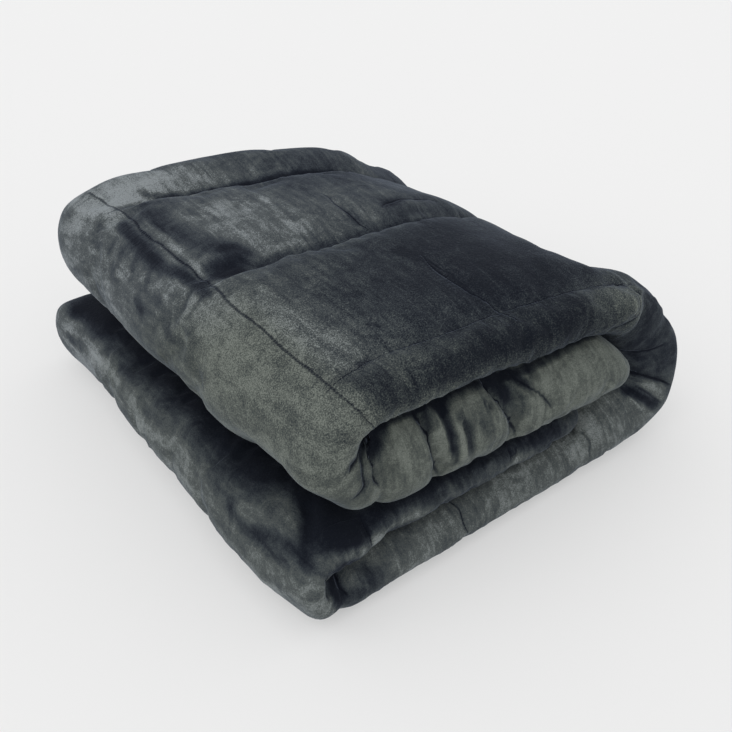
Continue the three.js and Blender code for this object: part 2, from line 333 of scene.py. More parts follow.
def holdWeights(where, across, points):
    # 1 where the cover is sewn or lies between two layers, 0 where it is free
    p = puff
    quarter = comforter["quarter"]
    innerFrom = 4 * quarter + lastSeam + comforter["lastStep"]
    inner = smoothStep(across, innerFrom - p["innerRun"], innerFrom)
    outside = smoothStep(across, *p["frontFree"])
    hidden = np.maximum.reduce([
        1 - passed(where, "upperInner"),
        passed(where, "floor") * (1 - passed(where, "lowerFold")),
        passed(where, "lowerInner"),
    ])[:, None] * outside * (1 - smoothStep(points[:, :, 1], *p["backFree"]))
    riseFrom, riseTo = p["quiltRise"]
    quilted = smoothStep(where, foldPlace + riseFrom, foldPlace + riseTo) * (1 - passed(where, "belly"))
    sewn = 0
    for k, (_, share) in enumerate(comforter["seams"]):
        behind = behindSeam(where, points[:, :, 1], k)
        hold = np.exp(-(behind / p["seamHold"]) ** 2) * min(1, share * 2) * outside
        sewn = np.maximum(sewn, hold * quilted[:, None])
    for place in places[pulls > 0]:
        crosswise = np.exp(-((where[:, None] - place) / p["seamHold"]) ** 2) * p["crossHold"]
        sewn = np.maximum(sewn, crosswise)
    ends = 1 - smoothStep(np.minimum(where - places[0], places[-1] - where), 0, p["endHold"])[:, None]
    underside = smoothStep(-across, 0, quarter)
    floorRim = (passed(where, "floor", 2) * (1 - passed(where, "lowerFold")))[:, None]
    floorRim = p["floorHold"] * floorRim * (1 - smoothStep(across, *p["floorFree"]))
    underside = np.maximum(underside, floorRim)
    return np.clip(np.maximum.reduce([inner, hidden, sewn + 0 * inner, ends + 0 * inner, underside]), 0, 1)


def simulate(mesh, hold):
    # runs the cloth and gives back its points, in the order of the mesh
    body = bpy.data.objects.new("puff", mesh)
    bpy.context.scene.collection.objects.link(body)
    group = body.vertex_groups.new(name="held")
    steps = puff["levels"]
    for level in range(1, steps + 1):
        chosen = np.nonzero(np.round(hold.ravel() * steps).astype(int) == level)[0].tolist()
        if chosen:
            group.add(chosen, level / steps, "REPLACE")
    cloth = body.modifiers.new("filling", "CLOTH")
    for name, value in puff["cloth"].items():
        setattr(cloth.settings, name, value)
    cloth.settings.use_pressure = True
    cloth.settings.uniform_pressure_force = puff["pressure"]
    cloth.settings.vertex_group_mass = "held"
    cloth.settings.shrink_min = -puff["growth"]
    cloth.settings.effector_weights.gravity = 0
    cloth.collision_settings.use_collision = False
    cloth.collision_settings.use_self_collision = False
    cloth.point_cache.frame_start = 1
    cloth.point_cache.frame_end = puff["frames"]
    for step in range(1, puff["frames"] + 1):
        bpy.context.scene.frame_set(step)
    after = body.evaluated_get(bpy.context.evaluated_depsgraph_get()).to_mesh()
    found = np.empty(len(after.vertices) * 3)
    after.vertices.foreach_get("co", found)
    body.to_mesh_clear()
    bpy.context.scene.frame_set(1)
    bpy.data.objects.remove(body)
    return found


def puffUp(grid, across):
    coarse = grid[::2, ::2]
    hold = holdWeights(where[::2], across[::2, ::2], coarse)
    mesh = gridMesh("puff", coarse)
    found = simulate(mesh, hold)
    bpy.data.meshes.remove(mesh)
    middle = np.array([*comforter["centre"], 0])
    moved = found.reshape(coarse.shape) / mm + middle - coarse
    normal = normalsOf(coarse)
    out = np.sum(moved * normal, axis=2, keepdims=True)
    slide = moved - out * normal
    free = (1 - hold)[:, :, None]
    outCap = np.where(out > 0, puff["outMost"], puff["inMost"]) * np.maximum(free, 0.02)
    out = outCap * np.tanh(out / outCap)
    length = np.linalg.norm(slide, axis=2, keepdims=True)
    slide = slide * puff["slideMost"] * np.tanh(length / puff["slideMost"]) / np.maximum(length, 1e-9)
    moved = out * normal + slide
    print("cover puffed: out up to %.1f mm, mean %.1f mm" % (out.max(), out.mean()))
    full = np.zeros(grid.shape)
    full[::2, ::2] = moved
    full[1::2, ::2] = (moved[1:] + moved[:-1]) / 2
    full[:, 1::2] = (full[:, ::2] + np.roll(full[:, ::2], -1, axis=1)) / 2
    return full


grid = grid + puffUp(grid, across) * smoothStep(grid[:, :, 2:], *puff["floorClear"])

# soft pulls on the whole stack: where, how far they reach, and the way they move it
grabs = (
    # right half of the top and of the upper inner layer
    ((335, 75, 205), 70, (-6, 0, -3)),
    ((345, 45, 208), 40, (-5, 0, -3)),
    ((312, 50, 220), 45, (1, 0, 2)),
    ((315, 95, 215), 50, (1, 0, 4)),
    ((335, 155, 205), 55, (1, 0, -1)),
    ((325, 400, 200), 50, (-2, 0, -5)),
    ((205, -30, 195), 70, (0, 0, -6)),
    ((330, -30, 120), 50, (5, -2, 2)),
    ((325, 330, 205), 110, (-10, 0, -8)),
    # back of the top
    ((30, 455, 228), 130, (0, 0, 5)),
    ((245, 425, 232), 80, (0, 0, -3)),
    # left side, lower fold
    ((-69, -18, 34), 40, (6.5, 0, 0)),
    ((-70, 95, 38), 95, (-5, 0, 0)),
    ((-65, 495, 70), 70, (-3, 0, 5)),
    ((-72, 390, 30), 90, (5, 0, 0)),
    # left side, top fold and the slot under it
    ((-38, 30, 115), 85, (4, 0, 9)),
    ((-45, 195, 125), 75, (2, 0, 7)),
    ((-47, 75, 130), 40, (2, 0, 5)),
    ((-33, -15, 120), 40, (2, 0, 4)),
    ((5, -30, 62), 45, (0, -3, -7)),
)


def grabAt(grid, at, reach, move):
    distance = np.linalg.norm(grid - np.array(at, float), axis=2)
    return np.maximum(0, 1 - (distance / reach) ** 2)[:, :, None] ** 2 * np.array(move, float)


grid = grid + sum(grabAt(grid, *grab) for grab in grabs)

# crosswise seams, through points of the cover: how far along the strip, how far across it from the middle of
# its front rim. These points, and those of the creases and strokes below, were picked in the photograph and
# turned into places on the cover by projection
foldSeam = (
    (406, 490), (408, 470), (410.5, 425), (410.5, 394), (409, 376), (409, 354), (410.5, 336), (410.5, 296),
    (412, 278), (412, 243), (411.5, 220), (410, 205), (410, 140), (408.5, 113), (408, 90), (408, 25),
    (408.5, 10), (409, -6),
)
middleSeam = (
    ((574, 326), (576, 312), (573, 298), (575, 287), (578, 274), (579, 260), (582, 251)),
    ((574, 153), (571, 140), (570, 127), (570, 104), (571, 87), (574, 75), (578, 64), (582, 52), (584, 36)),
)
floorSeam = ((1164, -40), (1158, -24), (1161, -12), (1158, 4))
lowerSeam = ((1419, 34), (1419, 22), (1420, 10), (1419, -4))

creasing = {
    "gap": 5,                # between the points of a crease
    "margin": 20,            # round a crease, where the cover is looked through for its points
    "reach": 4,              # in widths of the crease
    "fade": (-0.02, 0.22),   # share of its length over which an end comes in
    "tuckSides": (1.5, 0.6),    # how much wider and narrower the two sides of a tuck are
    "darkDepth": 8,          # a crease this deep gets the darkest painted shade, and how near it that shade lies
    "darkReach": (2.5, 6),
    "shadowDepth": 7,
    "shadowWidth": 0.5,
    "far": 60.0,             # beyond the reach of any seam or crease
}

# folds and dents: kind, depth, width, points. seam: a sharp furrow, tuck: sharp on one side and sloping on
# the other, dent: a soft one, or a ridge where its depth is below 0
creases = (
    # upper inner layer, front rim
    ("tuck", 11, 8, ((264, -44), (262, -32), (259, -20), (257, -8), (254, 4), (250, 16), (243, 26))),
    ("dent", 5, 6, ((238, -44), (237, -28), (239, -14), (238, 0), (234, 8))),
    ("dent", -4, 5, ((254, -42), (250, -26), (246, -14), (243, -2), (239, 8))),
    ("dent", 4, 6, ((224, -20), (221, -12), (221, -4), (219, 6))),
    ("dent", -3, 5, ((230, -18), (229, -4), (228, 8))),
    ("dent", 3, 6, ((207, -16), (202, -6))),
    ("dent", 2, 4, ((196, -23), (189, -18))),
    ("tuck", 11, 8, ((187, -44), (182, -30), (177, -19), (171, -9), (164, 1), (158, 13), (150, 24))),
    ("dent", 4, 8, ((162, -40), (160, -26), (157, -12))),
    ("tuck", 5, 8, ((156, -42), (148, -30), (140, -22), (131, -15), (124, -6), (120, 2))),
    ("dent", 2, 4, ((108, -28), (112, -20))),
    ("dent", 2, 5, ((131, -34), (129, -26))),
    ("tuck", 7, 9, ((322, -40), (316, -26), (321, -19), (319, -12), (318, -5), (313, 6))),
    ("tuck", 5, 7, ((338, -34), (341, -22), (343, -14), (340, -6), (334, 0), (336, 6), (342, 14))),
    ("seam", 6, 6, ((331, -40), (340, -28), (350, -18), (359, -6), (360, 2))),
    # top layer, front rim and nose
    ("seam", 2, 4, ((462, 38), (461, 26), (461, 16), (459, 3), (460, -6))),
    ("dent", 3, 7, ((577, 17), (583, 0))),
    ("dent", 2.5, 6, ((609, 12), (620, 2))),
    ("seam", 4, 7, ((706, 46), (730, 45), (745, 37), (750, 24), (750, 12), (743, 4), (733, -2), (722, -10),
                    (700, -17))),
    ("seam", 2, 4, ((728, 34), (738, 24), (738, 14), (731, 4), (716, -2))),
    ("dent", 2, 8, ((711, 14), (713, 10))),
    # wide fold, front rim
    ("dent", -3, 6, ((788, -40), (804, -30), (812, -18), (818, -6), (824, 10))),
    ("seam", 4, 6, ((792, -40), (808, -28), (816, -16), (822, -4), (828, 12))),
    ("dent", 3, 6, ((808, -38), (822, -22), (832, -10), (838, 4))),
    ("seam", 9, 8, ((852, -42), (854, -32), (856, -22), (860, -10), (865, 2), (871, 16))),
    ("dent", 2, 5, ((832, -4), (834, 8), (840, 18))),
    ("dent", 2.5, 5, ((843, -10), (847, 4), (853, 18))),
    ("dent", -4, 6, ((906, -34), (902, -20), (899, -6))),
    ("dent", 5, 6, ((898, -34), (896, -22), (892, -10), (891, 4))),
    ("dent", -4, 5, ((884, -26), (888, -14), (888, 0))),
    ("seam", 3, 5, ((877, -26), (880, -14), (884, -4), (886, 8))),
    # lower fold, its front corner and the lower inner layer
    ("dent", 2.5, 5, ((1358, 128), (1354, 107), (1354, 89), (1355, 62), (1357, 41), (1362, 20))),
    ("dent", 2.5, 5, ((1357, 84), (1361, 60), (1364, 40), (1364, 25))),
    ("dent", 4, 9, ((1390, 80), (1385, 62), (1379, 49), (1370, 35), (1364, 22))),
    ("tuck", 6, 8, ((1370, 8), (1364, -4), (1354, -12), (1341, -16), (1332, -6))),
    ("seam", 5, 6, ((1304, -36), (1306, -20), (1299, -4))),
    ("dent", 1.5, 3, ((1360, -4), (1350, -12), (1346, -18))),
    ("seam", 3, 5, lowerSeam),
    ("seam", 3, 4, ((1592, 26), (1593, 12), (1588, 0))),
    ("seam", 3, 4, ((1600, 24), (1598, 12), (1594, -2))),
    ("dent", 3, 7, ((1500, 18), (1504, 4))),
    # floor layer, front rim
    ("seam", 2, 5, floorSeam),
    ("seam", 2, 5, ((992, -34), (985, -24), (983, -14), (986, -6), (986, 8))),
    ("dent", 4, 7, ((1000, -42), (990, -32))),
    # top layer: the seam at the fold and the one across its middle, and the folds at the far right
    ("seam", 1.6, 4, foldSeam),
    ("seam", 2, 5, middleSeam[0]),
    ("seam", 3.5, 5, middleSeam[1]),
    ("seam", 1.5, 4, ((577, 152), (580, 138), (577, 120), (574, 102), (573, 88))),
    ("tuck", 3.5, 8, ((616, 270), (624, 276), (645, 281), (661, 285), (688, 285), (711, 285), (730, 275))),
    ("dent", 2, 7, ((626, 255), (660, 262), (700, 262))),
    ("seam", 1.5, 3, ((506, 236), (520, 230), (532, 217), (536, 204))),
    ("seam", 1.2, 3, ((408, 206), (405, 197), (400, 190))),
)


def pointOn(along, side):
    i = min(np.interp(along, where, np.arange(sectionCount)), sectionCount - 1.001)
    k = min(np.interp(side, across[int(i)], np.arange(ringCount)), ringCount - 1.001)
    a, b = i % 1, k % 1
    i, k = int(i), int(k)
    return ((grid[i, k] * (1 - b) + grid[i, k + 1] * b) * (1 - a)
            + (grid[i + 1, k] * (1 - b) + grid[i + 1, k + 1] * b) * a)


def lineOn(points):
    # the points of a crease on the cover, closely spaced on a smooth curve through the given ones
    points = np.array(points, float)
    run = np.concatenate([[0], np.cumsum(np.linalg.norm(np.diff(points, axis=0), axis=1))])
    slope = np.gradient(points, run, axis=0)
    found = []
    for i in range(len(points) - 1):
        span = run[i + 1] - run[i]
        steps = max(2, int(span / creasing["gap"]))
        found += [curveBetween(points[i], points[i + 1], slope[i], slope[i + 1], span, t)
                  for t in np.arange(steps) / steps]
    return np.array([pointOn(*point) for point in found + [points[-1]]])


def nearLine(points, reach):
    # for the points of the cover near a line: which they are, their distance, their side, how far along it
    line = lineOn(points)
    alongs, sides = zip(*points)
    margin = reach + creasing["margin"]
    near = ((where[:, None] > min(alongs) - margin) & (where[:, None] < max(alongs) + margin)
            & (across > min(sides) - margin) & (across < max(sides) + margin))
    body = grid[near]
    start, span = line[:-1], np.diff(line, axis=0)
    rel = body[:, None] - start[None]
    t = np.clip(np.sum(rel * span, axis=2) / np.maximum(np.sum(span ** 2, axis=1), 1e-9), 0, 1)
    off = rel - t[:, :, None] * span
    distance = np.linalg.norm(off, axis=2)
    best = np.argmin(distance, axis=1)
    pick = np.arange(len(body))
    along = (best + t[pick, best]) / len(span)
    left = np.cross(normal[near], span[best])
    side = np.sign(np.sum(left * off[pick, best], axis=1))
    return near, distance[pick, best], side, along


normal = normalsOf(grid)
c = creasing
sunk = np.zeros(across.shape)
shadow = np.zeros(across.shape)
pleat = np.full(across.shape, c["far"])   # signed distance to the nearest sharp crease, and how much painted shade lies along it
pleatDark = np.zeros(across.shape)
for kind, depth, width, points in creases:
    near, distance, side, along = nearLine(points, width * c["reach"])
    fade = smoothStep(np.minimum(along, 1 - along), *c["fade"])
    if kind == "seam":
        shape = -depth * np.exp(-distance / width)
    elif kind == "tuck":
        shape = -depth * np.exp(-distance / (width * np.where(side > 0, *c["tuckSides"])))
    else:
        shape = -depth * np.exp(-(distance / width) ** 2)
    sunk[near] += shape * fade
    if kind in ("seam", "tuck"):
        closer = distance < np.abs(pleat[near])
        pleat[near] = np.where(closer, distance * side, pleat[near])
        # painted shade along a sharp crease
        dark = min(1, depth / c["darkDepth"]) * fade * (1 - smoothStep(distance, *c["darkReach"]))
        pleatDark[near] = np.where(closer, dark, pleatDark[near])
    if depth > 0:
        deep = np.exp(-(distance / (width * c["shadowWidth"])) ** 2) * fade * min(1, depth / c["shadowDepth"])
        shadow[near] = np.maximum(shadow[near], deep)
grid = grid + normal * sunk[:, :, None]
print("creases drawn:", len(creases))

# small gathers beside the seams and a little unevenness all over. Each size has the seed of its own cloud
gathers = {
    "swell": 1.6, "swellSize": (95, 3.1),
    "ripple": 0.5, "rippleSize": (30, 7.7),
    "seam": 1.4, "seamSize": (11, 1.3), "seamStretch": 0.3, "seamReach": 18,
    "seamRise": (-10, 20),                # from the seam at the fold
    "floorClear": (0, 12),
}


def cloudOver(points, size, seed):
    found = [noise.noise(Vector(point)) for point in points.reshape(-1, 3) / size + seed]
    return np.array(found).reshape(points.shape[:2])


normal = normalsOf(grid)
g = gathers
rough = g["swell"] * cloudOver(grid, *g["swellSize"]) + g["ripple"] * cloudOver(grid, *g["rippleSize"])
rough *= smoothStep(grid[:, :, 2], *g["floorClear"])
surface = np.stack(np.broadcast_arrays(where[:, None], across * g["seamStretch"], 0 * across), axis=2)
stretch = cloudOver(surface, *g["seamSize"])
riseFrom, riseTo = g["seamRise"]
quilted = smoothStep(where, foldPlace + riseFrom, foldPlace + riseTo) * (1 - passed(where, "nose"))
for k, (_, share) in enumerate(comforter["seams"]):
    behind = behindSeam(where, across - comforter["quarter"], k)
    gathered = g["seam"] * np.abs(stretch) * np.exp(-np.abs(behind) / g["seamReach"])
    rough -= gathered * quilted[:, None] * min(1, share)
grid = grid + normal * rough[:, :, None]
grid[:, :, 2] = np.maximum(grid[:, :, 2], 0)

# which way the pile lies, together with painted shade in the crevices, under the rims and between the pleats,
# and painted light on some folds and ridges: lighter or darker along the strip, then single strokes, each
# with its amount, width and points. 1 is lightest, -1 darkest
napAndShadeAlong = (
    (0, 0.7), (60, 0.65), (180, 0.6), (290, 0.6), (330, 0.6), (400, 0.65), (425, 0.3), (470, 0.0),
    (520, -0.3), (580, -0.5), (640, -0.7), (700, -0.6), (750, -0.2), (790, -0.4), (850, -0.35), (862, 0.1),
    # the dark run from 1366 to 1425 is painted shade in the crevice under the upper layers
    (960, 0.55), (1100, 0.45), (1300, 0.4), (1345, 0.55), (1356, 0.5), (1366, 0.1), (1376, -0.55),
    (1385, -1.4), (1400, -1.8), (1425, -0.2), (1600, 0), (1700, -0.2),
)
napAndShadeStrokes = (
    # upper inner layer, front rim: painted shade under the top layer and between the pleats, painted light on
    # two pleat ridges
    (-1.4, 4, ((318, -38), (290, -37), (230, -35), (160, -34), (100, -34), (40, -36))),
    (-1.3, 9, ((296, -40), (306, -32), (312, -24))),
    (-1.2, 5, ((256, -42), (254, -32), (252, -22))),
    (-1.4, 9, ((238, -42), (236, -32))),
    (-1.0, 6, ((238, -30), (239, -16), (239, -4))),
    (-0.7, 5, ((238, -2), (234, 8))),
    (-0.8, 5, ((224, -20), (220, -12), (221, -4), (219, 4))),
    (-0.6, 8, ((207, -18), (201, -6))),
    (-0.6, 3, ((196, -23), (189, -18))),
    (0.4, 5, ((249, -24), (246, -10), (241, 4))),
    (0.4, 5, ((229, -14), (228, 6))),
    (-1.5, 8, ((176, -42), (170, -32), (166, -20))),
    (-1.1, 6, ((156, -40), (148, -30), (140, -23))),
    (-0.5, 10, ((160, -18), (156, -4))),
    (-0.5, 5, ((132, -34), (128, -28))),
    # top fold, outside its seam
    (-0.04, 60, ((388, 445), (388, 395))),
    (-0.4, 45, ((372, 300), (376, 230))),
    (0.3, 18, ((388, 469), (402, 460), (421, 454), (453, 455))),
    (-1.2, 7.5, ((405, 402), (404, 380), (403, 350), (403, 320), (403, 300), (405, 290), (407, 272),
                 (407, 250), (407, 229))),
    (-0.3, 14, ((398, 367), (400, 345), (400, 325))),
    (-0.4, 6, ((401, 442), (397, 425))),
    (-0.5, 4, ((398, 392), (390, 386))),
    (-0.5, 4, ((397, 372), (389, 364))),
    (-0.5, 4, ((398, 345), (391, 338))),
    (-0.4, 4, ((399, 318), (392, 308))),
    (-0.5, 4, ((402, 250), (394, 243))),
    (-0.5, 4, ((403, 228), (395, 222))),
    (-0.35, 7, ((392, 428), (390, 408))),
    (-0.4, 6, ((387, 372), (383, 363), (378, 349))),
    (-0.5, 6, ((383, 309), (380, 296))),
    (-0.5, 7, ((385, 260), (380, 238))),
    (-0.4, 6, ((390, 207), (385, 198))),
    (-0.3, 6, ((393, 14), (392, 8))),
    (-0.5, 5, ((366, -2), (360, -8))),
    # top layer, beside that seam
    (-0.4, 32, ((424, 400), (424, 340), (430, 300))),
    (-0.6, 14, ((420, 392), (420, 370), (422, 343), (424, 321), (430, 303), (436, 290))),
    (-1.3, 12, ((420, 262), (428, 262), (440, 265), (448, 270))),
    (-1.0, 7, ((412, 251), (426, 251), (437, 251))),
    (-0.8, 6, ((436, 283), (450, 283))),
    (0.4, 4, ((414, 405), (414, 330), (414, 270), (414, 232))),
    (-0.6, 3, ((417, 376), (417, 350))),
    (-0.6, 7, ((411, 439), (418, 434), (423, 414))),
    (-0.9, 5, ((430, 455), (437, 443), (448, 436), (460, 434))),
    (-0.3, 45, ((428, 190), (470, 110))),
    (0.3, 24, ((425, 187), (424, 116), (420, 60))),
    (-0.3, 6, ((435, 205), (436, 178), (434, 156))),
    (-0.5, 8, ((422, 87), (424, 76), (427, 68))),
    (-0.8, 4, ((432, 53), (441, 53))),
    (-0.5, 2.5, ((465, 91), (469, 82))),
    (-0.5, 3, ((441, 43), (441, 36), (440, 27))),
    (-0.5, 14, ((420, 46), (440, 12), (446, -8))),
    # top layer, the rest
    (0.65, 42, ((424, 456), (480, 452), (560, 447), (640, 432), (700, 420))),
    (-0.9, 6, ((436, 428), (482, 427), (517, 424), (552, 420), (590, 413), (620, 407), (660, 403),
               (690, 401))),
    (0.75, 75, ((470, 325), (560, 305), (650, 290))),
    (-0.4, 6, ((566, 343), (562, 323))),
    (-0.5, 3, ((576, 290), (578, 274), (579, 262))),
    (-0.7, 6, ((630, 277), (648, 281), (666, 285))),
    (-0.2, 50, ((530, 150), (600, 110))),
    (-0.2, 45, ((646, 205), (652, 150), (650, 90))),
    (-0.7, 8, ((562, 174), (568, 170), (571, 158))),
    (-0.7, 2.5, ((573, 148), (570, 127), (570, 104), (572, 88))),
    (0.8, 30, ((690, 26), (735, 18))),
    (-0.4, 18, ((462, 12), (513, 4), (572, 3), (623, 7))),
    (0.65, 12, ((440, -12), (500, -12), (560, -8), (620, -4))),
    # wide fold, front rim: painted shade in a dent, painted light on the ridges beside it
    (0.5, 8, ((872, -14), (874, 4))),
    (-0.9, 7, ((897, -30), (893, -12), (891, 2))),
    (0.6, 5, ((903, -22), (899, -6))),
    # floor layer, front rim beside the lower fold: painted shade in its tuck
    (-0.5, 10, ((1278, -24), (1268, -14))),
    (-0.5, 5, ((1290, -8), (1280, 0))),
    (-0.4, 14, ((1301, -3), (1262, -6))),
    (-1.6, 10, ((1322, -34), (1317, -22), (1312, -8))),
    # lower fold and its front corner, with painted shade along its dents
    (0.25, 14, ((1354, 450), (1356, 400))),
    (0.25, 14, ((1362, 110), (1368, 60))),
    (0.6, 10, ((1357, 497), (1362, 488))),
    (-0.5, 12, ((1378, 500), (1374, 470), (1372, 440))),
    (-0.7, 9, ((1371, 506), (1367, 496))),
    (-0.5, 5, ((1352, 494), (1350, 482))),
    (-0.5, 6, ((1353, 470), (1354, 450))),
    (-0.4, 8, ((1366, 374), (1366, 350))),
    (-0.4, 5, ((1357, 308), (1357, 298))),
    (0.7, 13, ((1384, 104), (1379, 84), (1377, 64))),
    (-0.6, 6, ((1358, 128), (1355, 107), (1355, 89), (1355, 62), (1357, 41))),
    (-0.6, 6, ((1357, 84), (1361, 60), (1364, 40), (1364, 25))),
    (-0.5, 8, ((1388, 70), (1381, 49), (1371, 35))),
    (0.4, 8, ((1369, 20), (1376, 15))),
    (1.4, 9, ((1382, 12), (1390, 8))),
    (1.7, 9, ((1396, 4), (1404, 1))),
    # lower inner layer
    (1.1, 9, ((1410, -2), (1432, -5))),
    (-0.7, 9, ((1425, 30), (1500, 30), (1600, 28), (1650, 24))),
    (0.4, 7, ((1452, 3), (1480, 2))),
    (0.3, 5, ((1425, -3), (1540, -2), (1640, 0))),
    (-0.7, 9, ((1623, 14), (1652, 6))),
)

strokeSettings = {"reach": 2.2, "fade": (-0.3, 0.1), "shadow": 0.6}    # the last: how much darker the painted shade of a crease makes it

nap = np.interp(where, *zip(*napAndShadeAlong))[:, None] + 0 * across
for amount, width, points in napAndShadeStrokes:
    near, distance, _, along = nearLine(points, width * strokeSettings["reach"])
    fade = smoothStep(np.minimum(along, 1 - along), *strokeSettings["fade"])
    nap[near] += amount * np.exp(-(distance / width) ** 3) * fade
# painted shade in the creases
nap -= strokeSettings["shadow"] * shadow
print("pile brushed:", len(napAndShadeStrokes), "napAndShadeStrokes")

# what the plush is drawn from, along the strip and across it
drawn = {
    "stitched": (404, 760),               # the stretch whose lengthwise seams show
    "seamEnds": 4,                        # a crosswise seam runs on past its points
    "crestRise": (408, 440),              # where the painted highlight on the edge in front of a seam and the painted shade behind it show
    "crestFall": (690, 740),
    "crestBack": (150, 200),
    "topRise": (330, 410),                # the top of the stack, where the comforter was handled most
    "topFall": (740, 800),
    "grain": (0.75, 1.5, 0.8, (120, 300)),    # least, added on top, share that it loses towards the back
    "sheenTop": (0.6, (405, 425), (10, 70)),   # painted bluish sheen behind the fold, except on the front rim
    "sheenBack": (180, (130, 280)),            # and painted bluish sheen towards the back
}

# how far each point lies from the nearest stitched seam, signed, so that the stitching can be drawn finely
lengthSeam = np.full(across.shape, creasing["far"])
stitchedFrom, stitchedTo = drawn["stitched"]
for k in range(len(comforter["seams"])):
    behind = behindSeam(where, across - comforter["quarter"], k)
    inside = ((where > stitchedFrom) & (where < stitchedTo))[:, None]
    lengthSeam = np.where(inside & (np.abs(behind) < np.abs(lengthSeam)), behind, lengthSeam)
crossSeam = np.full(across.shape, creasing["far"])
for points in (foldSeam, *middleSeam, floorSeam, lowerSeam):
    line = np.array(sorted(points, key=lambda point: point[1]), float)
    beside = where[:, None] - np.interp(across, line[:, 1], line[:, 0])
    inside = (across > line[0, 1] - drawn["seamEnds"]) & (across < line[-1, 1] + drawn["seamEnds"])
    crossSeam = np.where(inside & (np.abs(beside) < np.abs(crossSeam)), beside, crossSeam)

crest = smoothStep(where, *drawn["crestRise"]) * (1 - smoothStep(where, *drawn["crestFall"]))
crest = crest[:, None] * smoothStep(across, *drawn["crestBack"])
onTop = (smoothStep(where, *drawn["topRise"]) * (1 - smoothStep(where, *drawn["topFall"])))[:, None]
least, more, loss, stretchOf = drawn["grain"]
grain = least + more * onTop * (1 - loss * smoothStep(across, *stretchOf))
amount, rise, rim = drawn["sheenTop"]
cool = amount * smoothStep(where, *rise)[:, None] * (1 - onTop * (1 - smoothStep(across, *rim)))
shift, rise = drawn["sheenBack"]
cool = np.maximum(smoothStep(across - shift * (1 - onTop), *rise), cool)

mapped = np.stack([np.broadcast_to(where[:, None], across.shape), across], axis=2)
mesh = gridMesh(comforter["piece"], grid, mapped)
painted = {"nap": nap, "lengthSeam": lengthSeam * mm, "crossSeam": crossSeam * mm, "crest": crest,
           "pleat": pleat * mm, "pleatDark": pleatDark, "grain": grain, "cool": cool}
for name, values in painted.items():
    layer = mesh.attributes.new(name, "FLOAT", "POINT")
    layer.data.foreach_set("value", values.astype(np.float32).ravel())
piece = bpy.data.objects.new(comforter["piece"], mesh)
bpy.context.scene.collection.objects.link(piece)
for polygon in mesh.polygons:
    polygon.use_smooth = True
print("comforter mesh:", len(mesh.vertices), "points,", len(mesh.polygons), "faces")

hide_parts("comforter")
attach(piece, "root")


class Shade:
    # one socket of a node tree, used in plain expressions

    def __init__(self, tree, socket):
        self.tree, self.socket = tree, socket

    def node(self, kind, settings=None, output=0, **inputs):
        # a node: its settings first, then its sockets by name, or by number as at0, at1 and so on
        made = self.tree.nodes.new(kind)
        for name, value in (settings or {}).items():
            if name == "stops":
                ramp = made.color_ramp
                while len(ramp.elements) < len(value):
                    ramp.elements.new(0.5)
                for element, (position, colour) in zip(ramp.elements, value):
                    element.position, element.color = position, (*colour, 1)
            else:
                setattr(made, name, value)
        for name, value in inputs.items():
            socket = made.inputs[int(name[2:]) if name.startswith("at") else name.replace("_", " ")]
            if isinstance(value, Shade):
                self.tree.links.new(value.socket, socket)
            else:
                socket.default_value = value
        return Shade(self.tree, None if output is None else made.outputs[output])

    def maths(self, operation, *values):
        return self.node("ShaderNodeMath", {"operation": operation},
                         **{"at%d" % i: value for i, value in enumerate(values)})

    def __add__(self, other): return self.maths("ADD", self, other)
    def __radd__(self, other): return self.maths("ADD", other, self)
    def __sub__(self, other): return self.maths("SUBTRACT", self, other)
    def __rsub__(self, other): return self.maths("SUBTRACT", other, self)
    def __mul__(self, other): return self.maths("MULTIPLY", self, other)
    def __rmul__(self, other): return self.maths("MULTIPLY", other, self)
    def __abs__(self): return self.maths("ABSOLUTE", self)

    def least(self, other): return self.maths("MINIMUM", self, other)
    def most(self, other): return self.maths("MAXIMUM", self, other)

    def between(self, low, high):
        # 0 below low, 1 above high, smooth in between
        return self.node("ShaderNodeMapRange", {"interpolation_type": "SMOOTHSTEP"},
                         Value=self, From_Min=low, From_Max=high)

    def cloud(self, scale, detail=2.0, rough=0.5, warp=0.0):
        return self.node("ShaderNodeTexNoise", None, 0, Vector=self, Scale=scale,
                         Detail=detail, Roughness=rough, Distortion=warp)

    def ramp(self, stops):
        return self.node("ShaderNodeValToRGB", {"stops": stops}, 0, at0=self)

    def blend(self, low, high):
        # a colour between two others, this value as the factor
        return self.node("ShaderNodeMix", {"data_type": "RGBA"}, 2, at0=self, at6=low, at7=high)


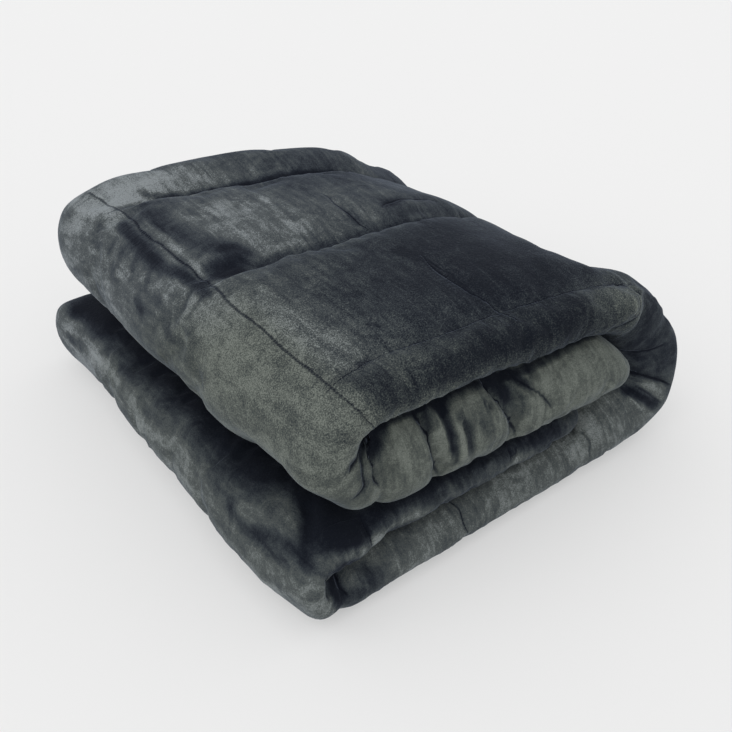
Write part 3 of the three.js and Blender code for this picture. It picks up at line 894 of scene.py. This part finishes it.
plush = {
    "pile": (                      # from the pile that lies away from the light to the pile that faces it
        (0.0, (0.0040, 0.0059, 0.0105)), (0.25, (0.0132, 0.0168, 0.0218)), (0.5, (0.0350, 0.0420, 0.0435)),
        (0.75, (0.0760, 0.0860, 0.0780)), (1.0, (0.1550, 0.1710, 0.1520)),
    ),
    "sheenPile": (                  # the same with a painted bluish sheen, farther back, where it is seen at a lower angle
        (0.0, (0.0042, 0.0060, 0.0115)), (0.25, (0.0132, 0.0168, 0.0245)), (0.5, (0.0345, 0.0415, 0.0500)),
        (0.75, (0.0740, 0.0840, 0.0870)), (1.0, (0.2250, 0.2470, 0.2580)),
    ),
    "patches": (10.0, 0.45),       # how fine each unevenness is, and how much it lightens or darkens the pile
    "smears": (38.0, 0.8),
    "brushed": (150.0, 18.0, 0.6),
    "tufts": (320.0, 0.24),
    "hairs": (850.0, 0.75),
    "lightest": (0.85, 0.4),       # above this value the mottling is weaker by this share
    "stitchWidth": 0.0005,
    "stitchLength": 0.0032,
    "stitchDark": 0.42,
    "gathers": (230, 25),          # fineness along a seam and across it
    "gatherReach": 0.016,
    # painted light and shade along the gathers
    "gatherLight": 0.25,
    "edgeLight": 0.16,             # painted highlight on the edge in front of a deep seam
    "slopeDark": 0.3,              # and painted shade on the slope behind it
    # a thin line of painted shade in each sharp crease
    "furrowWidth": (0.0002, 0.0022),
    "furrowShade": 0.6,
    "sheen": 0.13,
    "sheenRoughness": 0.3,
    "sheenTint": (0.62, 0.76, 1.0),
    "roughness": 0.95,
    "gloss": 0.15,
    "bump": (0.5, 0.002),          # strength, and the height of 1
}


def plushMaterial():
    p = plush
    material = bpy.data.materials.new("plush")
    material.use_nodes = True
    tree = material.node_tree
    tree.nodes.clear()
    start = Shade(tree, None)

    def fromMesh(name):
        return start.node("ShaderNodeAttribute", {"attribute_name": name}, "Fac")

    place = start.node("ShaderNodeTexCoord", None, "Object")
    strip = start.node("ShaderNodeUVMap", {"uv_map": "strip"})
    along = strip.node("ShaderNodeSeparateXYZ", None, "X", Vector=strip)
    across = strip.node("ShaderNodeSeparateXYZ", None, "Y", Vector=strip)
    nap, crest, cool = fromMesh("nap"), fromMesh("crest"), fromMesh("cool")
    lengthwise, crosswise = fromMesh("lengthSeam"), fromMesh("crossSeam")
    pleat, pleatDark, grain = fromMesh("pleat"), fromMesh("pleatDark"), fromMesh("grain")

    def drawnOut(alongScale, acrossScale):
        vector = along.node("ShaderNodeCombineXYZ", None, 0, X=along * alongScale, Y=across * acrossScale)
        return vector.cloud(1.0, 3.0, 0.6, 0.4) - 0.5

    patches = place.cloud(p["patches"][0], 3.0, 0.6, 0.8) - 0.5
    smears = place.cloud(p["smears"][0], 5.0, 0.7, 1.0) - 0.5
    brushed = drawnOut(p["brushed"][0], p["brushed"][1])
    tufts = place.cloud(p["tufts"][0], 3.0, 0.6) - 0.5
    hairs = place.cloud(p["hairs"][0], 2.0, 0.6) - 0.5

    def stitching(distance, run):
        turn = run * (2 * math.pi / p["stitchLength"])
        line = 1.0 - abs(distance + smears * 0.003).between(p["stitchWidth"] * 0.2, p["stitchWidth"] * 2.0)
        return line * (turn.maths("SINE", turn) * 0.25 + 0.75)

    stitches = stitching(lengthwise, along).most(stitching(crosswise, across))
    # small gathers beside the seams: a bump, with painted light and shade along them
    fine, coarse = p["gathers"]
    gathered = (drawnOut(fine, coarse) * (1.0 - abs(lengthwise).between(0.0, p["gatherReach"]))
                + drawnOut(coarse, fine) * (1.0 - abs(crosswise).between(0.0, p["gatherReach"])))

    # the edge in front of each deep seam catches the light, the slope behind it is in its own shadow
    behind = lengthwise + smears * 0.006
    edge = (1.0 - abs(behind + 0.004).between(0.0, 0.0045)) * p["edgeLight"]
    slope = behind.between(-0.0015, 0.001) * (1.0 - behind.between(0.002, 0.014)) * p["slopeDark"]
    # a thin line of painted shade along each sharp crease, also sunk in the bump
    furrow = (1.0 - abs(pleat).between(*p["furrowWidth"])) * pleatDark

    # 0 where the pile lies away from the light, 1 where it faces it; the value also carries the painted shade
    # and painted light of the strokes, creases, seam edges and gathers
    layAndShade = (nap + patches * (2 * p["patches"][1]) + smears * (2 * p["smears"][1])
           + brushed * (2 * p["brushed"][2])) * 0.5 + 0.5
    bright, weaker = p["lightest"]
    layAndShade = (layAndShade - weaker * (layAndShade - bright).most(0.0)).most(0.0).least(1.0)
    layAndShade = layAndShade + (edge - slope) * crest - furrow * p["furrowShade"]
    layAndShade = (layAndShade + tufts * p["tufts"][1] + hairs * p["hairs"][1] * grain - stitches * p["stitchDark"]
           + gathered * p["gatherLight"])
    layAndShade = layAndShade.most(0.0).least(1.0)
    # painted bluish sheen farther back
    colour = cool.blend(layAndShade.ramp(p["pile"]), layAndShade.ramp(p["sheenPile"]))

    height = hairs * 0.3 + tufts * 0.5 + smears * 0.7 + gathered * 1.6 - stitches * 1.2 - furrow * 2.0
    strength, distance = p["bump"]
    bump = height.node("ShaderNodeBump", None, 0, Height=height, Strength=strength, Distance=distance)
    shader = start.node("ShaderNodeBsdfPrincipled", None, 0, Base_Color=colour, Normal=bump,
                        Roughness=p["roughness"], Specular_IOR_Level=p["gloss"], Sheen_Weight=p["sheen"],
                        Sheen_Roughness=p["sheenRoughness"], Sheen_Tint=(*p["sheenTint"], 1))
    start.node("ShaderNodeOutputMaterial", None, None, Surface=shader)
    return material


mesh.materials.append(plushMaterial())
print("plush made")

# floor, light and camera
studio = {
    "floor": 8.0,
    "floorColour": 0.45,
    "floorGlow": 0.385,            # a lit table: shadows stay pale on it
    "floorRoughness": 0.9,
    "floorGloss": 0.1,
    "world": 0.88,
    "suns": (("key", (-1.5, 0.1, 1.5), 60, 0.7), ("front", (-0.2, -1.5, 1.3), 70, 0.25)),
    "camera": (-544.3, -758.4, 705.2),    # its place, tilt from straight down and turn
    "tilt": 54.6,
    "turn": -36.3,
    "focal": 990,                  # in pixels of a picture of this width
    "width": 732,
    "sensor": 36,
}


def makeFloor():
    s = studio
    bpy.ops.object.select_all(action="DESELECT")
    bpy.ops.mesh.primitive_plane_add(size=s["floor"], location=(0, 0, 0))
    floor = bpy.context.active_object
    floor.name = "floor"
    material = bpy.data.materials.new("floor_paper")
    material.use_nodes = True
    sockets = material.node_tree.nodes["Principled BSDF"].inputs
    sockets["Base Color"].default_value = (*[s["floorColour"]] * 3, 1)
    sockets["Emission Color"].default_value = (1, 1, 1, 1)
    sockets["Emission Strength"].default_value = s["floorGlow"]
    sockets["Roughness"].default_value = s["floorRoughness"]
    sockets["Specular IOR Level"].default_value = s["floorGloss"]
    floor.data.materials.append(material)


def makeLight():
    world = bpy.data.worlds.new("studio")
    world.use_nodes = True
    world.node_tree.nodes["Background"].inputs["Color"].default_value = (1, 1, 1, 1)
    world.node_tree.nodes["Background"].inputs["Strength"].default_value = studio["world"]
    bpy.context.scene.world = world
    for name, place, angle, power in studio["suns"]:
        light = bpy.data.lights.new(name, "SUN")
        light.angle = math.radians(angle)
        light.energy = power
        lamp = bpy.data.objects.new(name, light)
        lamp.location = place
        lamp.rotation_euler = (-Vector(place)).to_track_quat("-Z", "Y").to_euler()
        bpy.context.scene.collection.objects.link(lamp)
    bpy.context.scene.view_settings.view_transform = "Standard"


def makeCamera():
    s = studio
    camera = bpy.data.cameras.new("camera")
    camera.sensor_width = s["sensor"]
    camera.lens = s["sensor"] * s["focal"] / s["width"]
    holder = bpy.data.objects.new("camera", camera)
    holder.location = [v * mm for v in s["camera"]]
    holder.rotation_euler = (math.radians(s["tilt"]), 0, math.radians(s["turn"]))
    bpy.context.scene.collection.objects.link(holder)
    bpy.context.scene.camera = holder


makeFloor()
makeLight()
makeCamera()
print("studio made")
